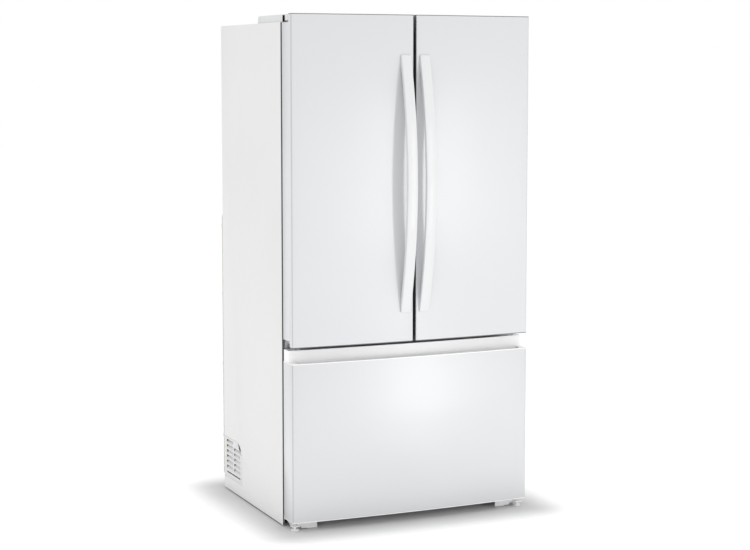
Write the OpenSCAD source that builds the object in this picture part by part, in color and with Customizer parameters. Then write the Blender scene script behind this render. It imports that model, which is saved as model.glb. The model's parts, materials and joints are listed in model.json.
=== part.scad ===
// French-door refrigerator with a bottom freezer drawer.
// Frame: X across the front, Y from front to back, Z up, origin on the floor under the middle.
// Depths below are measured from the front corner plane of the doors and grow towards the back.

/* [Cabinet] */
// Width of the cabinet and of the doors together
cabinet_w = 905; // [880:1:920]
// Depth of the cabinet behind the doors
cabinet_d = 620; // [612:1:660]
// Height of the cabinet's top panel
cabinet_top = 1745; // [1730:1:1800]
// Height of the lower edge of the side panels
panel_bottom = 5; // [4:1:8]

/* [Doors] */
// How far the upper doors stand above the cabinet's top panel
door_rise = 27; // [24:1:32]
// Height of the bottom edge of the upper doors
door_bottom = 640; // [638:1:642]
// Thickness of the doors at their corners
door_t = 86; // [84:1:90]
// Gap between the doors and the cabinet
seal_gap = 12; // [12:0.5:14]
// Gap between the two upper doors
centre_gap = 12; // [11:0.5:14]
// How far the middle of the front bulges ahead of its corners
front_bow = 14; // [8:1:20]

/* [Drawer] */
// Height of the drawer front's bottom edge
drawer_bottom = 32; // [31:1:34]
// Height of the drawer front's top edge
drawer_top = 585; // [575:1:590]
// Height of the recessed band's top edge
band_top = 626; // [620:1:627]
// How far the band stands back from the drawer front
band_setback = 42; // [36:1:46]

/* [Handles] */
// Height of the lower end of the door handles
handle_bottom = 743.5; // [700:0.5:800]
// Length of the door handles
handle_len = 891; // [800:1:900]
// Width of the door handles
handle_w = 37.5; // [30:0.5:40]
// Thickness of the handle bar
handle_t = 15; // [12:0.5:18]
// Distance from the door to the handle's front at its middle
handle_reach = 64; // [56:1:70]
// Distance from the door to the handle's front at its ends
handle_end_reach = 6; // [5:0.5:8]

/* [Interior] */
// Heights of the left-hand glass shelves
left_shelves = [1130, 1400]; // [930:1:1620]
// Heights of the right-hand glass shelves
right_shelves = [1060, 1330]; // [930:1:1620]
// Heights of the left-hand door bins
left_bins = [704, 1010, 1320]; // [700:1:1560]
// Heights of the right-hand door bins
right_bins = [704, 1070, 1400]; // [700:1:1560]

/* [Hidden] */
$fn = 48;
half_w = cabinet_w / 2;
cab_y = door_t + seal_gap;
back_y = cab_y + cabinet_d;
door_top = cabinet_top + door_rise;
skin = 1;
cap_lip = 2.5;
bow_r = (half_w * half_w + front_bow * front_bow) / (2 * front_bow);
door_x = [centre_gap / 2, half_w];
cap_h = 12;

// Finger groove behind the drawer front's top edge
pocket_top = drawer_top - cap_lip;
pocket_bottom = drawer_top - 40;
groove_end = 20;
front_lip = 10;

// Water tube up the back
tube_r = 4;
tube_clip_r = 5.5;
tube_x = -half_w + 6;
tube_y = back_y + 14;
tube_z = [54, 1043];
tube_bend = 12;

// Origin in the middle of the overall depth
handle_x = centre_gap / 2 + 11 + handle_w / 2;
handle_back = -bow(handle_x - handle_w / 2);
front_y = -(handle_back - handle_reach + tube_y + tube_clip_r) / 2;

// Door hinge pins
pin_x = half_w - 20;
pin_y = 45;
pin_r = 5;
pin_play = 0.05;
pocket_y = pin_y - 23;
pocket_in = pin_x - 47;
pocket_floor = cabinet_top - 2;
pocket_roof = door_bottom + 21;
hinge_block_w = 76;

// Fresh-food cavity
fridge_x = half_w - 45;
fridge_z = [688, cabinet_top - 50];
fridge_back = back_y - 48;
// Freezer cavity, with a step over the machine compartment
freezer_x = half_w - 52.5;
freezer_z = [75, 605];
freezer_back = back_y - 60;
step_y = cab_y + 380;
step_z = 300;
evap_y = freezer_back - 60;
liner_t = 1.5;
// Machine compartment under the step
machine_y = step_y + 12;
machine_z = [22, 255];
foam_bottom = 45;

// Door seals
seal_w = 12;
seal_t = seal_gap - 0.3;
door_seal_z = [668, cabinet_top - 28];
drawer_seal_z = [61, 614];
// Dykes moulded on the door liners
dyke_x = [36, 56, half_w - 77.5, half_w - 57.5];
dyke_t = 32;
bin_d = 100;
bin_h = 105;

// Folding mullion
mull_w = 18;
mull_len = 51;
mull_x = -21;
mull_y = cab_y + 10.6;
mull_z = [fridge_z[0] + 6, fridge_z[1] - 9];
mull_pin_r = 3;
mull_hinges = [720, 1180, 1640];
mull_knuckle_h = 24;

// Crispers
crisper_x = [8, half_w - 77.5];
crisper_y = [214, 600];
crisper_z = [690, 846];
cover_shelf = 862;
shelf_y = [209, 640];
track_x = [60, half_w - 65];
track_z = [900, 1655];

// Freezer slides and baskets
rail_z = [312, 348];
rail_y = [cab_y + 20, cab_y + 462];
slide_x = [for (inset = [21, 16, 15.5, 10.5, 10, 0]) freezer_x - inset];
basket_y = [110, 460];
upper_basket_y = [120, 560];
upper_basket_z = [375, 480];
ledge_w = 30;

// Rollers, feet and side vents
roller_x = [half_w - 34.5, half_w - 12.5];
roller_r = 20;
axle_r = 4;
front_roller = [150, 22];
rear_roller = [660, 20];
foot = [half_w - 18.5, 30];
foot_r = 5;
vent_y = [517, back_y - 2];
vent_z = [50, 203];
vent_corner = 62;

// Fans, water valve and the bush for the mains lead
fan_r = 52;
fan_shaft_r = 2.5;
evap_fan_z = 533;
cond_fan = [70, 600, 115];
valve_x = -384;
valve_z = 60;
inlet_r = 7;
gland_x = 330;
gland_z = 52;
gland_bore = 4.2;

white = [0.93, 0.93, 0.93];
panel_white = [0.91, 0.91, 0.90];
liner_white = [0.95, 0.95, 0.95];
clear_blue = [0.80, 0.88, 0.92, 0.5];
steel = [0.62, 0.63, 0.65];
dark = [0.18, 0.18, 0.19];
copper = [0.72, 0.45, 0.30];

// ---------- Shared shapes ----------

// How far the bowed front stands ahead of the corner plane at x
function bow(x) = sqrt(bow_r * bow_r - x * x) - bow_r + front_bow;

// Points along an arc
function arc(c, r, from, to, steps = 8) =
    [for (i = [0 : steps]) let (a = from + (to - from) * i / steps) c + r * [cos(a), sin(a)]];

// Plan of a bowed front between x0 and x1, from set_back behind the front to depth back
function front_plan(x0, x1, set_back, back, r = 3, steps = 14) = concat(
    [[x0, back]],
    arc([x0 + r, set_back + r - bow(x0 + r)], r, 180, 270, 4),
    [for (i = [1 : steps - 1]) let (x = x0 + r + (x1 - x0 - 2 * r) * i / steps)
        [x, set_back - bow(x)]],
    arc([x1 - r, set_back + r - bow(x1 - r)], r, 270, 360, 4),
    [[x1, back]]
);

module at(x, y, z) translate([x, front_y + y, z]) children();

// Block between two corners
module block(x, y, z) {
    at(x[0], y[0], z[0]) cube([x[1] - x[0], y[1] - y[0], z[1] - z[0]]);
}

module rod_x(x, y, z, r) {
    at(x[0], y, z) rotate([0, 90, 0]) cylinder(h = x[1] - x[0], r = r);
}

module rod_y(x, y, z, r) {
    at(x, y[1], z) rotate([90, 0, 0]) cylinder(h = y[1] - y[0], r = r);
}

module rod_z(x, y, z, r) {
    at(x, y, z[0]) cylinder(h = z[1] - z[0], r = r);
}

// Outline in depth and height, extruded across x
module slab_x(x, outline) {
    at(x[0], 0, 0) rotate([90, 0, 90]) linear_extrude(x[1] - x[0]) polygon(outline);
}

// Outline across and in height, extruded through the depths y
module slab_y(y, outline) {
    at(0, y[1], 0) rotate([90, 0, 0]) linear_extrude(y[1] - y[0]) polygon(outline);
}

// Outline in plan, extruded through the heights z
module slab_z(z, outline) {
    at(0, 0, z[0]) linear_extrude(z[1] - z[0]) polygon(outline);
}

// Rectangular ring round x and z, w wide
module ring(x, y, z, w) {
    difference() {
        block(x, y, z);
        block([x[0] + w, x[1] - w], [y[0] - 1, y[1] + 1], [z[0] + w, z[1] - w]);
    }
}

// Open-topped tray with walls t thick
module tray(x, y, z, t) {
    difference() {
        block(x, y, z);
        block([x[0] + t, x[1] - t], [y[0] + t, y[1] - t], [z[0] + t, z[1] + 1]);
    }
}

// The children and their mirror image on the other side
module both_sides() {
    children();
    mirror([1, 0, 0]) children();
}

// A right-hand part, mirrored when side is -1
module on_side(side) {
    if (side > 0) children();
    else mirror([1, 0, 0]) children();
}

// Outline of a side vent, with its front top corner rounded
function vent_outline(gap) = concat(
    [[vent_y[1], vent_z[0] + gap], [vent_y[1], vent_z[1] - gap]],
    arc([vent_y[0] + vent_corner, vent_z[1] - vent_corner], vent_corner - gap, 90, 180, 10),
    [[vent_y[0] + gap, vent_z[0] + gap]]
);

// ---------- Cabinet ----------

module cabinet_shell() color(panel_white) {
    difference() {
        block([-half_w, half_w], [cab_y, back_y], [panel_bottom, cabinet_top]);
        block([-half_w + skin, half_w - skin], [cab_y - 1, back_y + 1],
              [panel_bottom - 1, cabinet_top - skin]);
        slab_x([-half_w - 1, half_w + 1], vent_outline(0));
    }
}

// Front flange that the door seals close on
module front_frame() color(dark) {
    difference() {
        block([-half_w + skin, half_w - skin], [cab_y, cab_y + skin],
              [foam_bottom, cabinet_top - skin]);
        block([-fridge_x, fridge_x], [cab_y - 1, cab_y + 2], fridge_z);
        block([-freezer_x, freezer_x], [cab_y - 1, cab_y + 2], freezer_z);
    }
}

module rear_panel() color(steel) {
    rib_half_w = 9;
    block([-half_w + skin, half_w - skin], [back_y - skin, back_y],
          [machine_z[1], cabinet_top - skin]);
    for (x = [-270 : 180 : 270])
        block([x - rib_half_w, x + rib_half_w], [back_y, back_y + 1.5],
              [machine_z[1] + 60, cabinet_top - 90]);
}

module cabinet_foam() color([0.95, 0.88, 0.62]) {
    difference() {
        block([-half_w + skin, half_w - skin], [cab_y + skin, back_y - skin],
              [foam_bottom, cabinet_top - skin]);
        block([-fridge_x - liner_t, fridge_x + liner_t], [cab_y, fridge_back + liner_t],
              [fridge_z[0] - liner_t, fridge_z[1] + liner_t]);
        block([-freezer_x - liner_t, freezer_x + liner_t], [cab_y, freezer_back + liner_t],
              [step_z - liner_t, freezer_z[1] + liner_t]);
        block([-freezer_x - liner_t, freezer_x + liner_t], [cab_y, step_y + liner_t],
              [freezer_z[0] - liner_t, step_z]);
        block([-half_w, half_w], [machine_y, back_y], [foam_bottom - 1, machine_z[1]]);
    }
}

module fridge_liner() color(liner_white) {
    difference() {
        block([-fridge_x - liner_t, fridge_x + liner_t], [cab_y + skin, fridge_back + liner_t],
              [fridge_z[0] - liner_t, fridge_z[1] + liner_t]);
        block([-fridge_x, fridge_x], [cab_y, fridge_back], fridge_z);
    }
    // Guide block that tips the folding mullion
    block([-16, 30], [cab_y + 14, cab_y + 50], [fridge_z[1] - 6, fridge_z[1]]);
}

module freezer_liner() color(liner_white) {
    difference() {
        union() {
            block([-freezer_x - liner_t, freezer_x + liner_t],
                  [cab_y + skin, freezer_back + liner_t],
                  [step_z - liner_t, freezer_z[1] + liner_t]);
            block([-freezer_x - liner_t, freezer_x + liner_t], [cab_y + skin, step_y + liner_t],
                  [freezer_z[0] - liner_t, step_z]);
        }
        block([-freezer_x, freezer_x], [cab_y, freezer_back], [step_z, freezer_z[1]]);
        block([-freezer_x, freezer_x], [cab_y, step_y], [freezer_z[0], step_z + 1]);
    }
}

module base_frame() color(steel) {
    rail_x = roller_x[0] - 6;
    both_sides() {
        for (x = [rail_x, roller_x[1] + 3])
            block([x, x + 3], [cab_y + 7, back_y - 20], [11, foam_bottom]);
        for (wheel = [front_roller, rear_roller])
            rod_x([roller_x[0] - 4, roller_x[1] + 4], wheel[0], wheel[1], axle_r);
    }
    block([-rail_x, rail_x], [cab_y + 7, cab_y + 29], [12, foam_bottom]);
    block([-rail_x, rail_x], [machine_y, back_y - 4], [machine_z[0] - 2, machine_z[0]]);
}

module roller_pair(wheel) color(dark) {
    recess = 3;
    both_sides() difference() {
        rod_x(roller_x, wheel[0], wheel[1], roller_r);
        rod_x([roller_x[0] - 1, roller_x[1] + 1], wheel[0], wheel[1], axle_r + pin_play);
        for (x = [roller_x[0] - 1, roller_x[1] - recess])
            difference() {
                rod_x([x, x + recess + 1], wheel[0], wheel[1], roller_r - 5);
                rod_x([x - 1, x + recess + 2], wheel[0], wheel[1], axle_r + 4);
            }
    }
}

module front_rollers() roller_pair(front_roller);

module rear_rollers() roller_pair(rear_roller);

// Levelling-leg bracket under each front corner
module foot_brackets() color(white) {
    inner_x = foot[0] - 85;
    outer_x = foot[0];
    notch = [foot[0] - 21, 6];
    face_y = 36;
    top_z = 30;
    shelf_z = 15;
    sheet = 2.5;
    both_sides() difference() {
        union() {
            slab_y([face_y, face_y + sheet], concat(
                [[inner_x, top_z], [inner_x, 1.5], [notch[0] - 29, 1.5], [notch[0] - 24, 4],
                 [notch[0] - notch[1], 4]],
                arc(notch, notch[1], 180, 60),
                [[foot[0] - 15, shelf_z], [outer_x, shelf_z], [outer_x, top_z]]));
            block([inner_x, outer_x], [face_y, cab_y + 7], [top_z - sheet, top_z]);
            slab_x([outer_x - sheet, outer_x],
                   [[face_y + 10, top_z], [face_y + 10, shelf_z], [face_y + 22, 9],
                    [face_y + 42, 9], [cab_y + 7, 20], [cab_y + 7, top_z]]);
            block([foot[0] - 14, foot[0] + 14], [foot[1] - 16, face_y + sheet],
                  [shelf_z, shelf_z + 3]);
        }
        rod_z(foot[0], foot[1], [shelf_z - 1, shelf_z + 4], foot_r + pin_play);
        rod_x([outer_x - 4, outer_x + 2], face_y + 32, 19, 5);
        rod_y(foot[0] - 9, [face_y - 1, face_y + 4], 22, 3);
    }
}

module levelling_foot() color(steel) {
    pad_h = 5.5;
    at(foot[0], foot[1], 0) cylinder(h = pad_h, r = 15, $fn = 6);
    rod_z(foot[0], foot[1], [pad_h, 19.5], foot_r);
}

module left_foot() on_side(-1) levelling_foot();

module right_foot() on_side(1) levelling_foot();

// ---------- Side vents and back ----------

module side_vents() color(panel_white) {
    louvre_h = 15;
    pitch = 19.7;
    rows = 6;
    first_z = 81;
    columns = [[539, 611, 5], [618, 692, 6]];
    both_sides() difference() {
        union() {
            difference() {
                slab_x([half_w - 2.5, half_w], vent_outline(0.6));
                for (column = columns, row = [0 : column[2] - 1])
                    block([half_w - 3, half_w + 1], [column[0], column[1]],
                          [first_z + row * pitch, first_z + row * pitch + louvre_h]);
                block([half_w - 3, half_w + 1], [columns[0][0], columns[1][1]], [67, 72]);
            }
            // Sloping blade behind each louvre opening
            for (column = columns, row = [0 : column[2] - 1])
                slab_y([column[0], column[1]],
                       [for (p = [[0, 0], [-11, louvre_h], [-12.5, louvre_h], [-1.5, 0]])
                           [half_w + p[0], first_z + row * pitch + p[1]]]);
        }
        // The upper front louvre follows the rounded corner
        slab_x([half_w - 14, half_w + 1], [[530, 200], [530, 160], [541, 163], [566, 200]]);
    }
}

module machine_cover() color(dark) {
    difference() {
        block([-half_w + skin, half_w - skin], [back_y - 2, back_y], machine_z);
        for (side = [-1, 1], row = [0 : 7], column = [0 : 2])
            block([side * 250 + column * 66 - 94, side * 250 + column * 66 - 38],
                  [back_y - 3, back_y + 1], [80 + row * 18, 86 + row * 18]);
        rod_y(valve_x, [back_y - 3, back_y + 1], valve_z, 11);
        rod_y(gland_x, [back_y - 3, back_y + 1], gland_z, 9);
    }
}

// Solenoid valve with the house-water inlet at the back
module water_valve() color(liner_white) {
    block([valve_x - 18, valve_x + 18], [back_y - 40, back_y - 12], [valve_z - 20, valve_z + 26]);
    rod_y(valve_x, [back_y - 12, back_y + 3], valve_z, inlet_r + 2);
    rod_y(valve_x, [back_y + 3, back_y + 15], valve_z, inlet_r);
    rod_z(valve_x, back_y - 26, [valve_z + 26, valve_z + 60], 12);
    block([valve_x - 24, valve_x + 24], [back_y - 42, back_y - 10], [machine_z[0], valve_z - 20]);
}

module tube_bend_at(z, turn) {
    at(tube_x, tube_y - tube_bend, z) rotate([turn, 0, 0]) rotate([90, 0, 90])
        rotate_extrude(angle = 90) translate([tube_bend, 0]) circle(r = tube_r);
}

// Water tube clipped up the back, turning into the cabinet at both ends
module water_tube() color([0.80, 0.84, 0.80]) {
    rod_z(tube_x, tube_y, [tube_z[0] + tube_bend, tube_z[1] - tube_bend], tube_r);
    tube_bend_at(tube_z[1] - tube_bend, 0);
    tube_bend_at(tube_z[0] + tube_bend, -90);
    for (z = tube_z) rod_y(tube_x, [back_y, tube_y - tube_bend], z, tube_r);
}

// Tube clips and the strain-relief bush for the mains lead
module rear_fittings() color(dark) {
    for (z = [200, 470, 740, 1000]) difference() {
        union() {
            rod_z(tube_x, tube_y, [z - 6, z + 6], tube_clip_r);
            block([tube_x - 2, tube_x + 2], [back_y, tube_y - tube_r], [z - 6, z + 6]);
            block([tube_x - 2, tube_x + 24], [back_y, back_y + 2], [z - 6, z + 6]);
        }
        rod_z(tube_x, tube_y, [z - 7, z + 7], tube_r + 0.1);
    }
    difference() {
        union() {
            rod_y(gland_x, [back_y - 8, back_y], gland_z, 9);
            rod_y(gland_x, [back_y, back_y + 8], gland_z, 12);
        }
        rod_y(gland_x, [back_y - 9, back_y + 9], gland_z, gland_bore);
    }
}

// ---------- Hinges ----------

module door_hinges() color(steel) {
    both_sides() {
        // Upper hinge: plate on the cabinet top with an arm over the door
        union() {
            block([pin_x - 44, pin_x + 4], [cab_y + 6, cab_y + 110],
                  [cabinet_top, cabinet_top + 4]);
            block([pin_x - 40, pin_x + 4], [pin_y, cab_y + 7], [cabinet_top, cabinet_top + 4]);
            rod_z(pin_x, pin_y, [cabinet_top, cabinet_top + 4], 13);
            rod_z(pin_x, pin_y, [pocket_floor - 12, cabinet_top + 7], pin_r);
        }
        // Centre hinge: angle on the cabinet front carrying the lower pin
        union() {
            block([pin_x - 44, pin_x + 10], [cab_y - 3, cab_y], [620, 657]);
            block([pin_x - 40, pin_x + 4], [pin_y, cab_y - 2], [652, 657]);
            rod_z(pin_x, pin_y, [652, 657], 15);
            rod_z(pin_x, pin_y, [656, pocket_roof - 0.6], 9);
            rod_z(pin_x, pin_y, [656, pocket_roof + 12], pin_r);
        }
    }
}

module hex_screw_z(x, y, z) {
    at(x, y, z) cylinder(h = 4, r = 6.5, $fn = 6);
}

module hinge_screws() color(steel) {
    both_sides() {
        for (y = [125, 155, 185]) hex_screw_z(pin_x - 20, y, cabinet_top + 4);
        for (x = [8, 32])
            at(pin_x - x, cab_y - 3, 636) rotate([90, 0, 0]) cylinder(h = 4, r = 6, $fn = 6);
    }
}

// Moulded cover over each upper hinge
module hinge_covers() color(panel_white) {
    cover_top = cabinet_top + 25.5;
    cover_y = [cab_y + 0.5, cab_y + 238];
    cover_x = [pin_x - 61, pin_x + 13.5];
    wall = 2.5;
    rise = [cabinet_top + 4.5, cover_top];
    both_sides() {
        difference() {
            slab_x(cover_x, concat(
                [[cover_y[0], cabinet_top], [cover_y[0], cover_top]],
                arc([cover_y[1] - 14, cover_top - 14], 14, 90, 0),
                [[cover_y[1], cabinet_top]]));
            block([cover_x[0] + wall, cover_x[1] - wall], [cab_y - 1, cover_y[1] - 16],
                  [cabinet_top - 1, cover_top - wall]);
        }
        // Hood over the arm and the hinge pin
        difference() {
            union() {
                block([pin_x - 40, pin_x + 4], [pin_y + 6, cover_y[0]], rise);
                intersection() {
                    union() {
                        rod_z(pin_x, pin_y, rise, 20.5);
                        block([pin_x - 40, pin_x], [pin_y - 20.5, pin_y + 8], rise);
                    }
                    block([pin_x - 40, pin_x + 19.5], [pin_y - 21, pin_y + 8], rise);
                }
            }
            block([pin_x - 37, pin_x + 1.5], [pin_y - 9, cover_y[0] + 1],
                  [rise[0] - 1, cover_top - wall]);
            rod_z(pin_x, pin_y, [rise[0] - 1, cover_top - wall], 14);
        }
    }
}

// ---------- Fresh-food interior ----------

// Shelf bracket, deep at the track and slim at the front
function bracket_outline(z) = [
    [shelf_y[0] + 16, z - 1], [shelf_y[0] + 16, z - 12], [shelf_y[1] - 60, z - 24],
    [shelf_y[1] - 10, z - 52], [fridge_back - 12, z - 52], [fridge_back - 12, z - 4],
    [shelf_y[1], z - 1]
];

module half_shelf_frame(z) {
    x = [8, half_w - 56.5];
    difference() {
        block(x, [shelf_y[0], shelf_y[0] + 16], [z - 12, z + 8]);
        block([x[0] + 3, x[1] - 3], [shelf_y[0] + 10, shelf_y[0] + 17], [z - 0.2, z + 4.2]);
    }
    block(x, [shelf_y[1] - 14, shelf_y[1]], [z - 12, z - 0.2]);
    for (x_track = track_x) slab_x([x_track + 5, x_track + 9], bracket_outline(z));
}

module shelf_track(x) {
    slot_pitch = 40;
    difference() {
        block([x, x + 14], [fridge_back - 12, fridge_back], track_z);
        for (z = [track_z[0] + 20 : slot_pitch : track_z[1] - 30])
            block([x + 4, x + 10], [fridge_back - 13, fridge_back - 4], [z, z + 18]);
    }
}

// Tracks, shelf frames and the carrier of the two crispers
module shelf_frames() color(white) {
    both_sides() for (x = track_x) shelf_track(x);
    on_side(-1) for (z = left_shelves) half_shelf_frame(z);
    on_side(1) for (z = right_shelves) half_shelf_frame(z);
    difference() {
        block([-fridge_x, fridge_x], shelf_y, [cover_shelf - 12, cover_shelf + 6]);
        block([-fridge_x + 14, fridge_x - 14], [shelf_y[0] + 16, shelf_y[1] - 14],
              [cover_shelf - 13, cover_shelf + 7]);
        block([-fridge_x + 8, fridge_x - 8], [shelf_y[0] + 10, shelf_y[1] - 8],
              [cover_shelf - 0.2, cover_shelf + 7]);
    }
    block([-5, 5], [crisper_y[0] + 20, crisper_y[1]], [fridge_z[0], cover_shelf - 12]);
    both_sides()
        block([crisper_x[1] + 3, fridge_x], [crisper_y[0] + 40, crisper_y[1]], [730, 746]);
}

module shelf_glass() color(clear_blue) {
    on_side(-1) for (z = left_shelves) shelf_pane(z);
    on_side(1) for (z = right_shelves) shelf_pane(z);
    block([-fridge_x + 8.3, fridge_x - 8.3], [shelf_y[0] + 10.3, shelf_y[1] - 8.3],
          [cover_shelf, cover_shelf + 4]);
}

module shelf_pane(z) {
    block([11.5, half_w - 60], [shelf_y[0] + 10.5, shelf_y[1] - 1], [z, z + 4]);
}

// Crisper drawer with a pull lip along its front
module crisper() color(clear_blue) {
    tray(crisper_x, crisper_y, crisper_z, 3);
    block([crisper_x[0] + 30, crisper_x[1] - 30], [crisper_y[0] - 1.5, crisper_y[0]],
          [crisper_z[0] + 20, crisper_z[1] - 46]);
    slab_x([crisper_x[0] + 20, crisper_x[1] - 20],
           [[crisper_y[0] - 4, crisper_z[1]], [crisper_y[0] - 4, crisper_z[1] - 26],
            [crisper_y[0], crisper_z[1] - 30], [crisper_y[0], crisper_z[1]]]);
}

module left_crisper() on_side(-1) crisper();

module right_crisper() on_side(1) crisper();

module air_duct_cover() color(white) {
    difference() {
        block([-50, 50], [shelf_y[1] + 5, fridge_back], track_z);
        block([-46, 46], [shelf_y[1] + 8, fridge_back + 1], [track_z[0] + 4, track_z[1] - 4]);
        for (z = [track_z[0] + 40 : 90 : track_z[1] - 25])
            block([-34, 34], [shelf_y[1] + 4, shelf_y[1] + 9], [z, z + 8]);
    }
}

// Control housing under the ceiling, with a row of buttons and a small dark window
module control_panel() color(white) {
    difference() {
        slab_x([-150, 150], [[160, fridge_z[1]], [168, fridge_z[1] - 20],
                             [280, fridge_z[1] - 20], [300, fridge_z[1]]]);
        block([-40, 40], [190, 230], [fridge_z[1] - 21, fridge_z[1] - 18.5]);
    }
    for (x = [-110, -85, -60, 60, 85, 110])
        rod_z(x, 210, [fridge_z[1] - 21, fridge_z[1] - 20], 7);
}

module lamp_lens() color(clear_blue) {
    difference() {
        block([-120, 120], [330, 450], [fridge_z[1] - 12, fridge_z[1]]);
        block([-117, 117], [333, 447], [fridge_z[1] - 9.5, fridge_z[1] + 1]);
    }
}

// ---------- Freezer interior ----------

module evaporator_cover() color(liner_white) {
    carrier_z = [evap_fan_z - 8, evap_fan_z + 8];
    difference() {
        union() {
            block([-freezer_x, freezer_x], [evap_y - 5, evap_y], [step_z, freezer_z[1]]);
            // Motor carrier of the fan
            for (x = [-1, 1]) block([x * 60 - 4, x * 60 + 4], [evap_y, evap_y + 42], carrier_z);
            block([-64, 64], [evap_y + 38, evap_y + 42], carrier_z);
            rod_y(0, [evap_y + 16, evap_y + 40], evap_fan_z, 14);
            rod_y(0, [evap_y + 3, evap_y + 16], evap_fan_z, fan_shaft_r);
        }
        for (i = [-5 : 5]) let (w = sqrt(fan_r * fan_r - 81 * i * i))
            block([-w, w], [evap_y - 6, evap_y + 1], [530 + 9 * i, 535 + 9 * i]);
        for (x = [-330 : 55 : 330])
            block([x - 18, x + 18], [evap_y - 6, evap_y + 1], [310, 318]);
    }
}

// Fan wheel round the origin, turning about Z
module fan_wheel(r, thickness) {
    blades = 5;
    hub = 13;
    chord = 18;
    blade_t = 1.6;
    difference() {
        union() {
            cylinder(h = thickness, r = hub);
            for (i = [0 : blades - 1]) rotate([0, 0, i * 360 / blades])
                translate([hub - 3, 0, thickness / 2]) rotate([35, 0, 0])
                    translate([0, -chord / 2, -blade_t / 2]) cube([r - hub + 1, chord, blade_t]);
        }
        translate([0, 0, -1]) cylinder(h = thickness + 2, r = fan_shaft_r + 0.04);
    }
}

module evaporator_fan() color(dark) {
    at(0, evap_y + 13.4, evap_fan_z) rotate([90, 0, 0]) fan_wheel(fan_r - 3, 9);
}

// Finned coil behind the cover
module evaporator_coil() color(steel) {
    rows = 5;
    pitch = 26;
    low = 330;
    for (i = [0 : rows - 1]) rod_x([-300, 300], evap_y + 30, low + i * pitch, 4);
    for (i = [0 : rows - 2]) let (side = i % 2 == 0 ? 1 : -1)
        at(side * 300, evap_y + 30, low + (i + 0.5) * pitch) rotate([90, 0, 0])
            rotate([0, 0, side > 0 ? -90 : 90])
                rotate_extrude(angle = 180) translate([pitch / 2, 0]) circle(r = 4);
    for (x = [-288 : 24 : 288])
        block([x - 0.4, x + 0.4], [evap_y + 10, evap_y + 50], [low - 12, low + 116]);
}

module freezer_rails() color(steel) {
    both_sides() {
        // Fixed channel of the drawer slide
        difference() {
            block([slide_x[4], slide_x[5]], rail_y, rail_z);
            block([slide_x[4] - 1, slide_x[5] - 2.5], [rail_y[0] - 1, rail_y[1] + 1],
                  [rail_z[0] + 3, rail_z[1] - 3]);
        }
        // Ledge that the upper basket runs on
        block([freezer_x - ledge_w, freezer_x], [rail_y[0], evap_y - 18],
              [upper_basket_z[0] - 4.4, upper_basket_z[0] - 0.4]);
    }
}

// Middle member of each telescopic slide
module rail_sliders() color(steel) {
    both_sides()
        block([slide_x[2], slide_x[3]], [rail_y[0] + 4, rail_y[0] + 402],
              [rail_z[0] + 4, rail_z[1] - 4]);
}

// Tray with a wide flat rim round its outside
module upper_basket() color(white) {
    x = freezer_x - 16;
    rim = 12;
    rim_z = [upper_basket_z[1] - 8, upper_basket_z[1]];
    tray([-x, x], upper_basket_y, upper_basket_z, 3.5);
    difference() {
        block([-x - rim, x + rim], [upper_basket_y[0] - rim, upper_basket_y[1] + rim], rim_z);
        block([-x + 1, x - 1], [upper_basket_y[0] + 1, upper_basket_y[1] - 1],
              [rim_z[0] - 1, rim_z[1] + 1]);
    }
}

module ice_maker() color(liner_white) {
    x = [-freezer_x + 6, -freezer_x + 126];
    tray([x[0], x[1]], [300, 540], [520, 560], 4);
    block([x[0], x[1]], [276, 300], [508, 596]);
    block([x[0], x[1]], [540, 556], [530, 596]);
    block([x[0], x[0] + 5], [300, 540], [560, 605]);
    for (y = [330 : 30 : 510]) block([x[0] + 4, x[1] - 4], [y, y + 2], [524, 556]);
    // Feeler arm that stops the ice maker when the bin is full
    rod_y(x[1] + 6, [284, 530], 506, 2);
    rod_x([x[1] - 10, x[1] + 6], 286, 512, 2);
    rod_z(x[1] + 6, 286, [506, 512], 2);
}

// ---------- Machine compartment ----------

module compressor() color(dark) {
    x = 240;
    y = 605;
    r = 66;
    at(x, y, 40) rotate_extrude() polygon(concat(
        [[0, 0], [r - 12, 0]],
        arc([r - 12, 12], 12, 270, 360, 4),
        arc([r - 40, 110], 40, 0, 90, 6),
        [[0, 150]]));
    for (side = [-1, 1]) block([x + side * 74 - 12, x + side * 74 + 12], [y - 40, y + 40],
                               [40, 43]);
    block([x - 86, x + 86], [y - 30, y + 30], [38, 40]);
    for (side = [-1, 1], depth = [-24, 24])
        rod_z(x + side * 74, y + depth, [machine_z[0], 38], 9);
    rod_z(x - 50, y - 30, [150, 205], 4);
}

// Serpentine of the condenser
module condenser_coil() color(copper) {
    rows = 6;
    pitch = 28;
    low = 50;
    x = [-330, -30];
    for (depth = [540, 580]) {
        for (i = [0 : rows - 1]) rod_x(x, depth, low + i * pitch, 3);
        for (i = [0 : rows - 2]) let (side = i % 2)
            at(x[1 - side], depth, low + (i + 0.5) * pitch) rotate([90, 0, 0])
                rotate([0, 0, side == 0 ? -90 : 90])
                    rotate_extrude(angle = 180) translate([pitch / 2, 0]) circle(r = 3);
        for (x_wire = [x[0] + 20 : 40 : x[1] - 20])
            block([x_wire - 1, x_wire + 1], [depth - 1, depth + 1],
                  [machine_z[0], low + rows * pitch - 10]);
    }
}

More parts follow.
